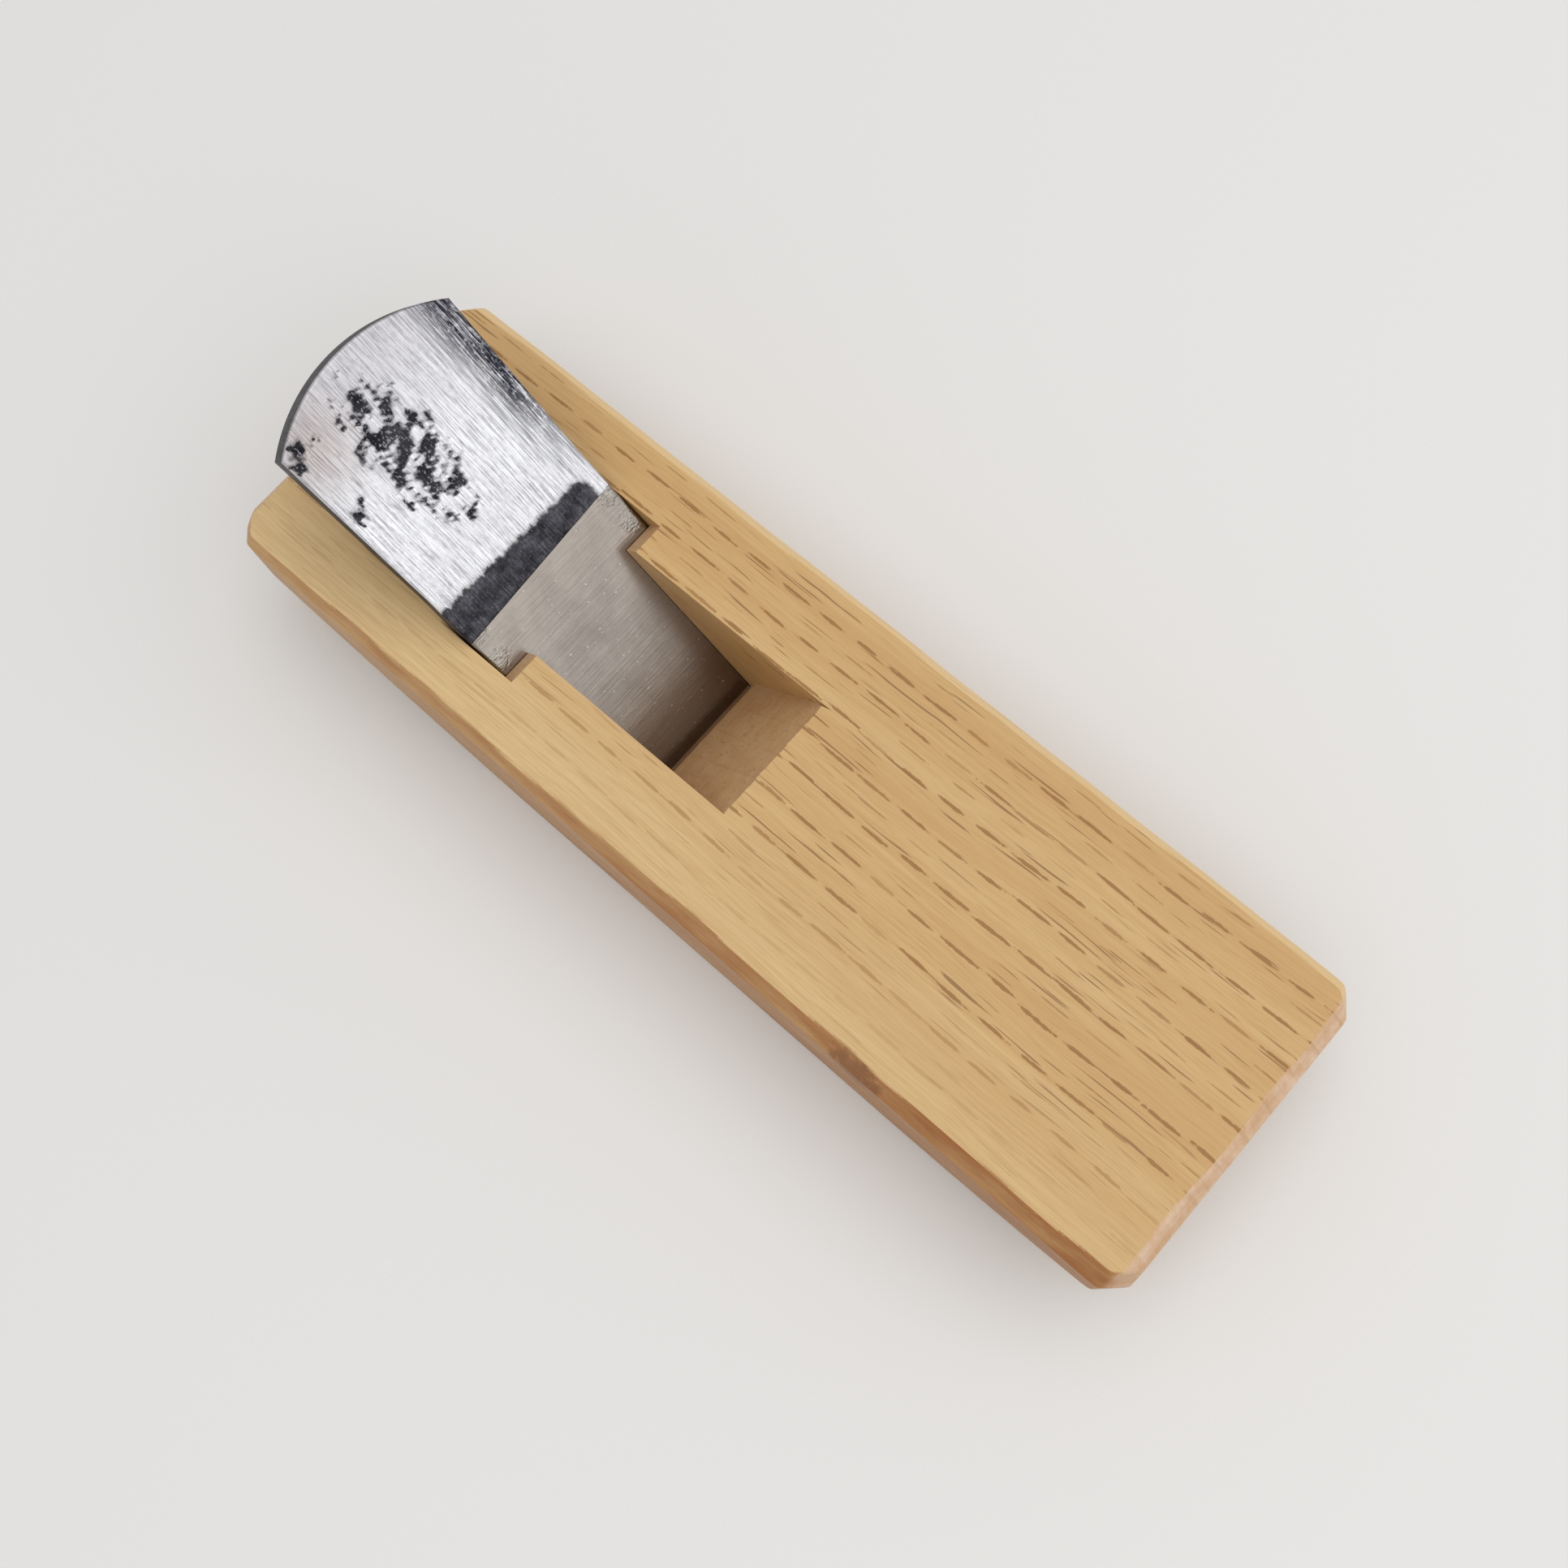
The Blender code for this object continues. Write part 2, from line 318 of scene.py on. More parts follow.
def block_skin():
    """The block before it is cut: a top row and a sole row at each station, sides and ends between.

    The top is flat less a ramp at each edge, the half width shrinks by a ramp at the corner cuts, and
    the sole is the land with its two sweeps. Straight lines from the top to the sole fill the rest.
    """
    along = stations(2 * HALF_LENGTH, FINE_ENDS) - HALF_LENGTH
    across = stations(2 * HALF_WIDTH, FINE_SIDES) / HALF_WIDTH - 1
    down = (1 - np.cos(np.pi * np.linspace(0, 1, SIDE_ROWS))) / 2

    x, share = np.meshgrid(along, across, indexing="ij")
    half = HALF_WIDTH - soft_ramp(np.abs(x) - (HALF_LENGTH - CORNER_CUT), CORNER_EASE)
    y = share * half
    near = NEAR_CHAMFER + NEAR_WIDENING * x / HALF_LENGTH
    near = near + NEAR_UNEVEN * waves(x, (67, 41, 23, 13), 3)
    far = FAR_CHAMFER + FAR_UNEVEN * waves(x, (59, 31, 17), 5)
    toe = TOE_CHAMFER + TOE_UNEVEN * waves(y, (37, 19), 7)
    drop = soft_ramp(y - (half - far), ARRIS) + soft_ramp(-y - (half - near), ARRIS)
    ends = soft_ramp(x - (HALF_LENGTH - toe), ARRIS)
    ends = ends + soft_ramp(-x - (HALF_LENGTH - HEEL_CHAMFER), ARRIS)
    top = np.stack((x, y, HEIGHT - np.maximum(drop + ends, 0)), -1)

    heel_sweep = sweep(-x - LAND_HEEL, HALF_LENGTH - LAND_HEEL, HEEL_RISE, HEEL_BULGE)
    toe_sweep = sweep(x - LAND_TOE, HALF_LENGTH - LAND_TOE, TOE_RISE, TOE_BULGE)
    eased = soft_ramp(np.abs(y) - (half - SOLE_ARRIS), SOLE_EASE)
    eased = eased - soft_ramp(-half + SOLE_ARRIS, SOLE_EASE)
    sole = np.stack((x, y, heel_sweep + toe_sweep + np.maximum(eased, 0)), -1)

    side_skins = [top[:, i, None] + (sole - top)[:, i, None] * down[:, None] for i in (0, -1)]
    end_skins = [top[i, :, None] + (sole - top)[i, :, None] * down[:, None] for i in (0, -1)]
    points, faces, first = [], [], 0
    for skin in (top, sole, *side_skins, *end_skins):
        points.append(skin.reshape(-1, 3))
        faces.append(grid_faces(*skin.shape[:2], first))
        first += skin.shape[0] * skin.shape[1]
    return np.concatenate(points), np.concatenate(faces)


def seat_skin():
    """The blade's seat: the bed below, the grooves' upper faces, and an opening above the notches.

    It is the blade's own width, face and back, each moved out by the play. The width narrows with the
    ears as they stand when the blade is driven right down.
    """
    ear = EDGE_AT - EAR_GRIND + DEPTH_TRAVEL + PLAY
    u = np.array((HEAD_AT, NOTCH_SET, NOTCH_SET, ear, EDGE_AT + DEPTH_TRAVEL + SLOT_RUNOUT))[:, None]
    upper = np.array((NOTCH_OPEN, NOTCH_OPEN, PLAY, PLAY, PLAY))[:, None]
    narrowing = (HALF_BLADE - HALF_EDGE) / EAR_GRIND
    half = HALF_BLADE + PLAY - narrowing * np.maximum(u - ear, 0)
    w = half * np.linspace(-1, 1, SEAT_COLUMNS)
    return shell(in_block(u, w, upper), in_block(u, w, -blade_back(u) - PLAY))


def throat_skin():
    """The chip hollow: an upright lip, then a slope up towards the toe, with chisel cuts across it.

    The slope is the lip's line plus height over the slope's tangent, plus shallow waves across the cut.
    At the far corner the last column runs on towards the toe, as a nick that deepens to the top.
    """
    lip = np.linspace(-THROAT_BELOW, LIP_HEIGHT, LIP_ROWS)
    slope = np.linspace(LIP_HEIGHT, HEIGHT + THROAT_ABOVE, SLOPE_ROWS)[1:]
    across = np.linspace(-HALF_THROAT, HALF_THROAT, THROAT_COLUMNS)
    z, y = np.meshgrid(np.concatenate((lip, slope)), across, indexing="ij")
    above = np.maximum(z - LIP_HEIGHT, 0)
    chisel = waves(y + 0.3 * z, (6.7, 3.1), 11) + 0.5 * waves(z - 0.4 * y, (9.0, 2.3), 13)
    torn = waves(y, (2.9, 1.7, 0.9), 17) * np.exp(-((z - HEIGHT) / TORN_REACH) ** 2)
    uneven = CHISEL_DEPTH * (chisel + torn) * np.minimum(above, 1)
    uneven[:, -1] += NICK_LENGTH * np.clip((z[:, -1] - HEIGHT) / NICK_DEPTH + 1, 0, 1)
    front = np.stack((MOUTH_X + above / np.tan(THROAT_ANGLE) + uneven, y, z), -1)
    behind = -BLADE_BACKSET + (HEIGHT - z) / np.tan(BLADE_ANGLE) - PLAY / np.sin(BLADE_ANGLE)
    return shell(front, np.stack((behind, y, z), -1))


def carve(target, cutter_mesh):
    """Cut a closed mesh out of a piece for good, and dissolve the slivers that the cut leaves."""
    cutter = link_object(cutter_mesh.name, cutter_mesh)
    cut = target.modifiers.new("cut", "BOOLEAN")
    cut.operation = "DIFFERENCE"
    cut.solver = "EXACT"
    cut.object = cutter
    carved = target.evaluated_get(bpy.context.evaluated_depsgraph_get())
    mesh = bpy.data.meshes.new_from_object(carved)
    bm = bmesh.new()
    bm.from_mesh(mesh)
    bmesh.ops.dissolve_degenerate(bm, edges=bm.edges, dist=MERGE_WITHIN * MM)
    bm.to_mesh(mesh)
    bm.free()
    target.modifiers.clear()
    target.data = mesh
    bpy.data.objects.remove(cutter)


def crisp(mesh, angle):
    """Smooth shading on curves, and a crisp line where faces turn by more than the angle in degrees."""
    mesh.shade_smooth()
    mesh.set_sharp_from_angle(angle=np.radians(angle))


def face_vectors(mesh, kind):
    """One vector for each face: its normal or its centre."""
    vectors = np.empty(3 * len(mesh.polygons))
    mesh.polygons.foreach_get(kind, vectors)
    return vectors.reshape(-1, 3)


def mark_faces(mesh):
    """Mark each face for the oak, as ramps of its normal and by its place.

    end_grain says how far a face cuts across the fibres: fully at the block's ends, partly in the
    throat. side_grain says how far it turns to a side. A third mark is where the wood is darkened:
    by hands with painted shade on top on the near side and its chamfer, by hands alone and less on
    the far side, and by painted shade alone on the throat's slope. The last mark is the far chamfer,
    which is painted paler as a highlight.
    """
    facing = np.abs(face_vectors(mesh, "normal"))
    centre = face_vectors(mesh, "center") / MM
    at_end = np.abs(centre[:, 0]) > HALF_LENGTH - 2 * TOE_CHAMFER
    outer = np.abs(centre[:, 1]) > (HALF_WIDTH + HALF_BLADE) / 2
    near = centre[:, 1] < 0
    across = ramp(facing[:, 0], start=0.50, span=0.12)
    side = ramp(facing[:, 1], start=0.3, span=0.2)
    slant = ramp(facing[:, 2], start=0.3, span=0.2)
    held_and_shaded = outer * side * np.where(near, 1.0, FAR_HANDLED * (1 - slant))
    held_and_shaded = held_and_shaded * (1 - (1 - END_HANDLED) * across)
    paint(mesh, "end_grain", "FACE", across * np.where(at_end, 1.0, THROAT_END_GRAIN))
    paint(mesh, "side_grain", "FACE", side)
    paint(mesh, "handled_and_shade", "FACE", held_and_shaded + across * np.where(at_end, 0, THROAT_PAINTED_SHADE))
    paint(mesh, "far_chamfer_highlight", "FACE", outer * side * slant * ~near)


def join(tree, feed, socket):
    """Link a node's first live output, or one given output, to an input."""
    if isinstance(feed, bpy.types.Node):
        feed = next(output for output in feed.outputs if output.enabled)
    tree.links.new(feed, socket)


def add(tree, kind, feeds=None, **settings):
    """Add one shader node: settings are its properties, feeds its inputs as values, sockets or nodes."""
    made = tree.nodes.new("ShaderNode" + kind)
    for name, value in settings.items():
        setattr(made, name, value)
    for key, feed in (feeds or {}).items():
        named = [socket for socket in made.inputs if socket.enabled and socket.name == key]
        socket = named[0] if named else made.inputs[key]
        if isinstance(feed, (bpy.types.Node, bpy.types.NodeSocket)):
            join(tree, feed, socket)
        else:
            socket.default_value = feed
    return made


def dashes(tree, x, y, bead, pitch, half, keep, seed):
    """Ray flecks: one spindle in each cell of staggered rows, with a share of the cells kept.

    Rows lie a pitch apart across the grain, and each row starts at its own place along it. A cell's
    spindle is where (along / half length) squared plus (across / half width) squared, plus twice the
    bead's raggedness, stays under 1.5 to 2. Its length is drawn from 0.55 to 1 of the full one, and its
    place from 0.46 to 0.54 of the way across the row.
    """
    row_place = add(tree, "Math", {0: y, 1: 1 / pitch[1], 2: seed}, operation="MULTIPLY_ADD")
    row = add(tree, "Math", {0: row_place}, operation="FLOOR")
    start = add(tree, "TexWhiteNoise", {"W": row}, noise_dimensions="1D")
    shift = add(tree, "Math", {0: start.outputs["Value"], 1: 7.0}, operation="MULTIPLY")
    column_place = add(tree, "Math", {0: x, 1: 1 / pitch[0], 2: shift}, operation="MULTIPLY_ADD")
    column = add(tree, "Math", {0: column_place}, operation="FLOOR")
    cell = add(tree, "CombineXYZ", {"X": column, "Y": row, "Z": seed})
    chance = add(tree, "TexWhiteNoise", {"Vector": cell}, noise_dimensions="3D")
    draw = add(tree, "SeparateColor", {"Color": chance.outputs["Color"]})

    along = add(tree, "Math", {0: column_place}, operation="FRACT")
    along = add(tree, "Math", {0: along, 1: 0.5}, operation="SUBTRACT")
    size = add(tree, "Math", {0: draw.outputs["Red"], 1: 0.45, 2: 0.55}, operation="MULTIPLY_ADD")
    along = add(tree, "Math", {0: along, 1: size}, operation="DIVIDE")
    along = add(tree, "Math", {0: along, 1: pitch[0] / half[0]}, operation="MULTIPLY")

    across = add(tree, "Math", {0: row_place}, operation="FRACT")
    place = add(tree, "Math", {0: draw.outputs["Green"], 1: 0.08, 2: 0.46}, operation="MULTIPLY_ADD")
    across = add(tree, "Math", {0: across, 1: place}, operation="SUBTRACT")
    across = add(tree, "Math", {0: across, 1: pitch[1] / half[1]}, operation="MULTIPLY")

    along = add(tree, "Math", {0: along, 1: along}, operation="MULTIPLY")
    reach = add(tree, "Math", {0: across, 1: across, 2: along}, operation="MULTIPLY_ADD")
    reach = add(tree, "Math", {0: bead, 1: 2.0, 2: reach}, operation="MULTIPLY_ADD")
    spindle = add(tree, "MapRange", {"Value": reach, "From Min": 2.0, "From Max": 1.5})
    kept = add(tree, "MapRange",
               {"Value": draw.outputs["Blue"], "From Min": keep, "From Max": keep - 0.35})
    return add(tree, "Math", {0: spindle, 1: kept}, operation="MULTIPLY")


def oak_material():
    """Planed oak: honey tan with lengthwise bands, ray flecks and pore lines, and pinker end grain.

    A planed face is satin, and the pores and flecks lie a little lower than the wood round them. Cut
    across, the same wood is paler and pinker, with a dusty mottled look.
    """
    material, tree, shader = new_material("planed_oak")
    place = add(tree, "TexCoord").outputs["Object"]
    mm = add(tree, "VectorMath", {0: place, 1: (1 / MM,) * 3}, operation="MULTIPLY")
    axis = add(tree, "SeparateXYZ", {"Vector": mm})

    # The grain wanders by about a millimetre over the length of a hand.
    slow = add(tree, "VectorMath", {0: mm, 1: (1 / 60, 1 / 16, 1 / 30)}, operation="MULTIPLY")
    wander = add(tree, "TexNoise", {"Vector": slow, "Scale": 1.0, "Detail": 2.0})
    y = add(tree, "Math", {0: wander, 1: 3.0, 2: axis.outputs["Y"]}, operation="MULTIPLY_ADD")
    x = add(tree, "Math", {0: axis.outputs["Z"], 1: 0.2, 2: axis.outputs["X"]}, operation="MULTIPLY_ADD")
    grain = add(tree, "CombineXYZ", {"X": x, "Y": y, "Z": axis.outputs["Z"]})

    # Bands of growth are about 5 mm wide and longer than the block. Fibres are under 0.1 mm wide, and
    # are drawn as streaks 0.45 mm and 0.17 mm wide so that they show.
    band_place = add(tree, "VectorMath", {0: grain, 1: (1 / 150, 1 / 5, 1 / 8)}, operation="MULTIPLY")
    band = add(tree, "TexNoise", {"Vector": band_place, "Scale": 1.0, "Detail": 3.0, "Roughness": 0.6})
    band = add(tree, "MapRange", {"Value": band, "From Min": 0.32, "From Max": 0.68},
               interpolation_type="SMOOTHSTEP")
    fibre_place = add(tree, "VectorMath", {0: grain, 1: (1 / 22, 1 / 0.45, 1 / 0.7)},
                      operation="MULTIPLY")
    fibre = add(tree, "TexNoise",
                {"Vector": fibre_place, "Scale": 1.0, "Detail": 3.0, "Roughness": 0.65})
    fine_place = add(tree, "VectorMath", {0: grain, 1: (1 / 5, 1 / 0.17, 1 / 0.3)}, operation="MULTIPLY")
    fine = add(tree, "TexNoise", {"Vector": fine_place, "Scale": 1.0, "Detail": 2.0})

    # Pore lines are hairlines 5 to 12 mm long and 0.2 mm wide, drawn 0.3 mm wide so that they show.
    pore_place = add(tree, "VectorMath", {0: grain, 1: (1 / 12, 1 / 0.42, 1 / 0.7)},
                     operation="MULTIPLY")
    pores = add(tree, "TexNoise", {"Vector": pore_place, "Scale": 1.0, "Detail": 1.0})
    pores = add(tree, "MapRange", {"Value": pores, "From Min": 0.66, "From Max": 0.73},
                interpolation_type="SMOOTHSTEP")

    # Rays are 4 to 6 mm long and half a millimetre thick, beaded, in broken lines 4.9 mm apart along
    # the grain. Thinner and fainter ones lie between these lines.
    bead_place = add(tree, "VectorMath", {0: grain, 1: (1 / 1.0, 1 / 0.9, 1 / 5)}, operation="MULTIPLY")
    bead = add(tree, "TexNoise", {"Vector": bead_place, "Scale": 1.0, "Detail": 2.0})
    bold = dashes(tree, x, y, bead, pitch=(6.6, 4.9), half=(4.0, 0.28), keep=1.15, seed=5.0)
    light = dashes(tree, x, y, bead, pitch=(8.3, 4.9), half=(3.6, 0.15), keep=0.75, seed=23.5)
    light = add(tree, "Math", {0: light, 1: 0.65}, operation="MULTIPLY")
    rays = add(tree, "Math", {0: bold, 1: light}, operation="MAXIMUM")

    # The near cheek is plainer and paler. Towards the heel it is paler still, and that part is painted
    # light against the blade's shadow. Side grain shows hardly any rays.
    plain = add(tree, "MapRange",
                {"Value": y, "From Min": -16.0, "From Max": -7.0, "To Min": 0.25, "To Max": 1.0})
    rays = add(tree, "Math", {0: rays, 1: plain}, operation="MULTIPLY")
    pores = add(tree, "Math", {0: pores, 1: plain}, operation="MULTIPLY")
    side = add(tree, "Attribute", attribute_name="side_grain").outputs["Fac"]
    broad = add(tree, "MapRange", {"Value": side, "To Min": 1.0, "To Max": 0.05})
    rays = add(tree, "Math", {0: rays, 1: broad}, operation="MULTIPLY")
    pale_and_lit = add(tree, "MapRange", {"Value": plain, "From Min": 1.0, "From Max": 0.25, "To Max": 0.6})
    heelward_light = add(tree, "MapRange",
                   {"Value": x, "From Min": 60.0, "From Max": -60.0, "To Min": 0.5, "To Max": 1.5})
    pale_and_lit = add(tree, "Math", {0: pale_and_lit, 1: heelward_light}, operation="MULTIPLY")

    tan = add(tree, "Mix", {"Factor": band, "A": linear(OAK_TAN), "B": linear(OAK_BAND)},
              data_type="RGBA")
    tan = add(tree, "Mix", {"Factor": pale_and_lit, "A": tan, "B": linear(OAK_PALE)}, data_type="RGBA")
    streak = add(tree, "MapRange",
                 {"Value": fibre, "From Min": 0.3, "From Max": 0.7, "To Min": 0.0, "To Max": 0.42})
    tan = add(tree, "Mix", {"Factor": streak, "A": tan, "B": linear(OAK_FIBRE)}, data_type="RGBA")
    fine = add(tree, "MapRange", {"Value": fine, "From Min": 0.50, "From Max": 0.72, "To Max": 0.35})
    tan = add(tree, "Mix", {"Factor": fine, "A": tan, "B": linear(OAK_FINE_FIBRE)}, data_type="RGBA")
    thin = add(tree, "Math", {0: pores, 1: 0.75}, operation="MULTIPLY")
    tan = add(tree, "Mix", {"Factor": thin, "A": tan, "B": linear(PORE_COLOUR)}, data_type="RGBA")
    end = add(tree, "Attribute", attribute_name="end_grain").outputs["Fac"]
    strong = add(tree, "MapRange",
                 {"Value": end, "From Max": THROAT_END_GRAIN, "To Min": 0.92, "To Max": 0.10})
    strong = add(tree, "Math", {0: rays, 1: strong}, operation="MULTIPLY")
    face = add(tree, "Mix", {"Factor": strong, "A": tan, "B": linear(RAY_COLOUR)}, data_type="RGBA")

    # End grain is mottled over 2 mm, with growth rings about 1 mm apart and the rays as faint lines.
    mottle_place = add(tree, "VectorMath", {0: mm, 1: (1 / 2.5, 1 / 2, 1 / 2.5)}, operation="MULTIPLY")
    mottle = add(tree, "TexNoise",
                 {"Vector": mottle_place, "Scale": 1.0, "Detail": 5.0, "Roughness": 0.7})
    mottle = add(tree, "MapRange", {"Value": mottle, "From Min": 0.3, "From Max": 0.7})
    cut = add(tree, "Mix", {"Factor": mottle, "A": linear(END_PALE), "B": linear(END_DARK)},
              data_type="RGBA")
    ring_place = add(tree, "VectorMath", {0: mm, 1: (1 / 60, 1 / 25, 1 / 1.1)}, operation="MULTIPLY")
    rings = add(tree, "TexNoise", {"Vector": ring_place, "Scale": 1.0, "Detail": 2.0})
    rings = add(tree, "MapRange", {"Value": rings, "From Min": 0.45, "From Max": 0.65, "To Max": 0.35})
    cut = add(tree, "Mix", {"Factor": rings, "A": cut, "B": linear(END_RING)}, data_type="RGBA")
    faint = add(tree, "Math", {0: rays, 1: 0.25}, operation="MULTIPLY")
    cut = add(tree, "Mix", {"Factor": faint, "A": cut, "B": linear(END_RAY)}, data_type="RGBA")
    colour = add(tree, "Mix", {"Factor": end, "A": face, "B": cut}, data_type="RGBA")

    # The far chamfer is painted paler than the rest, as a highlight along the far edge.
    far_chamfer_highlight = add(tree, "Attribute", attribute_name="far_chamfer_highlight").outputs["Fac"]
    painted_highlight = add(tree, "Math", {0: far_chamfer_highlight, 1: 0.7}, operation="MULTIPLY")
    colour = add(tree, "Mix", {"Factor": painted_highlight, "A": colour, "B": linear(FAR_CHAMFER_HIGHLIGHT)},
                 data_type="RGBA")

    # Hands have darkened the near chamfer and side to an orange brown, most at the toe, and part of that
    # darkening is painted shade. The far side is darkened a little by hands, and the throat's slope a
    # little with painted shade. One dark bruise lies on the near chamfer.
    handled_and_shade = add(tree, "Attribute", attribute_name="handled_and_shade").outputs["Fac"]
    wear_and_shade_place = add(tree, "VectorMath", {0: mm, 1: (1 / 14, 1 / 3, 1 / 1.5)}, operation="MULTIPLY")
    wear_and_shade = add(tree, "TexNoise", {"Vector": wear_and_shade_place, "Scale": 1.0, "Detail": 4.0, "Roughness": 0.6})
    wear_and_shade = add(tree, "MapRange",
               {"Value": wear_and_shade, "From Min": 0.35, "From Max": 0.65, "To Min": 0.60, "To Max": 1.0})
    wear_and_shade = add(tree, "Math", {0: handled_and_shade, 1: wear_and_shade}, operation="MULTIPLY")
    toeward = add(tree, "MapRange",
                  {"Value": x, "From Min": -60.0, "From Max": 60.0, "To Min": 0.7, "To Max": 1.0})
    wear_and_shade = add(tree, "Math", {0: wear_and_shade, 1: toeward}, operation="MULTIPLY")
    colour = add(tree, "Mix", {"Factor": wear_and_shade, "A": colour, "B": linear(HANDLED_AND_SHADE_COLOUR)},
                 data_type="RGBA")
    away = add(tree, "VectorMath", {0: mm, 1: BRUISE_AT}, operation="DISTANCE").outputs["Value"]
    bruise = add(tree, "Math", {0: mottle, 1: 6.0, 2: away}, operation="MULTIPLY_ADD")
    bruise = add(tree, "MapRange", {"Value": bruise, "From Min": 8.0, "From Max": 5.0, "To Max": 0.7})
    bruise = add(tree, "Math", {0: bruise, 1: handled_and_shade}, operation="MULTIPLY")
    colour = add(tree, "Mix", {"Factor": bruise, "A": colour, "B": linear(BRUISE_COLOUR)},
                 data_type="RGBA")
    join(tree, colour, shader.inputs["Base Color"])

    rough = add(tree, "MapRange",
                {"Value": fibre, "From Min": 0.3, "From Max": 0.7,
                 "To Min": OAK_ROUGHNESS[0], "To Max": OAK_ROUGHNESS[1]})
    join(tree, rough, shader.inputs["Roughness"])
    low = add(tree, "Math", {0: rays, 1: pores}, operation="ADD")
    relief = add(tree, "Math", {0: low, 1: -0.5, 2: fibre}, operation="MULTIPLY_ADD")
    bump = add(tree, "Bump", {"Strength": 0.5, "Distance": GRAIN_DEPTH * MM, "Height": relief})
    join(tree, bump, shader.inputs["Normal"])
    return material


block = link_object("oak_block", closed_mesh("oak_block", *block_skin()))
carve(block, closed_mesh("seat_cut", *seat_skin()))
carve(block, closed_mesh("throat_cut", *throat_skin()))
crisp(block.data, BLOCK_CRISP)
mark_faces(block.data)
block.data.materials.clear()
block.data.materials.append(oak_material())
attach(block, "body")
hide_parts("plane_body")

# Soft iron of the blade
# A forged wedge of soft iron with a crowned head, held in the block's side grooves by its taper alone.
# Its face is filed bright along its length above the weld, with forge scale left in the low places and
# in a band just above the steel. Its back and edges keep their scale.

HEAD_FLARE = 0.8            # extra half width at the head
FLARE_START = 10.0
STEEL_TOP = -2.5            # place of the weld down the blade
STEEL_THICKNESS = 1.2
WELD_LINE = 0.03
WELD_TILT = 0.06            # rise of the weld line for each mm across
BEVEL_ANGLE = np.radians(28.0)
EDGE_ROUND = 0.45
HAMMER_DEPTH = 0.035
HAMMER_SPAN = 9.0
BAND_TOP = -7.3             # where the band of scale begins
BAND_TILT = 0.027
BAND_FAR_END = 12.8
BAND_ROUND = 1.6
BAND_RAGGED = 0.45
BAND_FADE = 1.0
BAND_DEPTH = 0.12
PATCH_AT = (-26.5, -2.6)
PATCH_HALF = (13.5, 6.0)
PATCH_DEPTH = 0.10
PIT_DEPTH = 0.25
# Rust pits: place down the blade, place across it, radius
PITS = ((-36.2, -13.2, 1.0), (-34.4, -14.6, 0.8), (-24.6, -13.6, 0.9), (-25.6, -12.2, 0.4),
        (-35.6, -10.6, 0.4))
UNFILED_RIM = 0.02          # the file doesn't reach the rim itself
LUMP_WAVES = 12
IRON_ROWS = 130
IRON_COLUMNS = 91
SEAT_MIDDLE = 8.0           # one more row of points on the steel's seat
BLADE_CRISP = 35            # degrees
THROUGH = 0.3               # per mm: patterns change slowly through the blade's thickness

FILED_DARK = "#9C9BA0"
FILED_BRIGHT = "#F4F4F7"
HEAD_DULL = "#9A9398"
BLUE_STAIN = "#2C2D37"
BROWN_STAIN = "#8C6F55"
BROWN_AT = (-35.0, -11.5, 0.0)
SCALE_DARK = "#121115"
SCALE_RUBBED = "#6B6A71"
SCALE_CRUMB = "#C4C3CA"
FILED_ROUGHNESS = (0.52, 0.36)
SCALE_ROUGHNESS = 0.52
FILE_DEPTH = 0.10


def half_blade(u):
    """Half width of the blade: parallel in the block, flared to the head, ground in at the ears."""
    flare = HEAD_FLARE * ramp(-u, FLARE_START, HEAD_STANDOUT - FLARE_START)
    ground = (HALF_BLADE - HALF_EDGE) / EAR_GRIND * np.maximum(u - (EDGE_AT - EAR_GRIND), 0)
    return HALF_BLADE + flare - ground


def crown(w):
    """How far the head rises past its corners at a place across: a circle through corners and top."""
    half = HALF_BLADE + HEAD_FLARE
    radius = (half * half + HEAD_CROWN * HEAD_CROWN) / (2 * HEAD_CROWN)
    return np.sqrt(radius * radius - w * w) - (radius - HEAD_CROWN)


def lumps(u, w, span, seed):
    """Smooth random lumps about a span wide, about -1 to 1: a sum of plane waves, all seeded."""
    rng = np.random.default_rng(seed)
    heading = rng.uniform(0, 2 * np.pi, LUMP_WAVES)
    length = span * rng.uniform(0.7, 1.6, LUMP_WAVES)
    phase = rng.uniform(0, 2 * np.pi, LUMP_WAVES)
    along = u[..., None] * np.cos(heading) + w[..., None] * np.sin(heading)
    return np.sin(2 * np.pi * along / length + phase).sum(-1) / np.sqrt(LUMP_WAVES)


def rounded(distance):
    """Fall of a quarter-round edge: its radius less the circle's height at a distance from the rim."""
    inside = EDGE_ROUND - np.minimum(distance, EDGE_ROUND)
    return EDGE_ROUND - np.sqrt(EDGE_ROUND * EDGE_ROUND - inside * inside)


def scale_left(u, w):
    """Where forge scale is left on the filed face, each 0 to 1: the band, the patch and the pits.

    The band fades over the distance past its ragged top and its rounded far end. The patch is an oval
    broken up by lumps drawn out along the blade. A pit is a bell about its place, shifted by lumps.
    """
    ragged = BAND_RAGGED * waves(w, (5.3, 2.1, 1.3, 0.8), 21)
    past_top = BAND_TOP + BAND_TILT * w + ragged - u + BAND_ROUND
    past_end = w - (BAND_FAR_END - BAND_ROUND)
    inside = np.hypot(np.maximum(past_top, 0), np.maximum(past_end, 0)) - BAND_ROUND
    band = np.clip(0.5 - inside / BAND_FADE, 0, 1)
    oval = 1 - ((u - PATCH_AT[0]) / PATCH_HALF[0]) ** 2 - ((w - PATCH_AT[1]) / PATCH_HALF[1]) ** 2
    streaks = 0.9 * lumps(0.5 * u, w, 2.2, 31) + 0.6 * lumps(u, w, 1.3, 33)
    patch = ramp(streaks + 1.4 * oval, start=0.3, span=1.3) * np.clip(oval / 0.2 + 0.4, 0, 1)
    near_u = u + 0.5 * lumps(u, w, 1.5, 51)
    near_w = w + 0.5 * lumps(u, w, 1.5, 53)
    pits = sum(np.exp(-((near_u - a) ** 2 + (near_w - b) ** 2) / radius ** 2) for a, b, radius in PITS)
    return band, patch, np.clip(1.5 * pits, 0, 1)


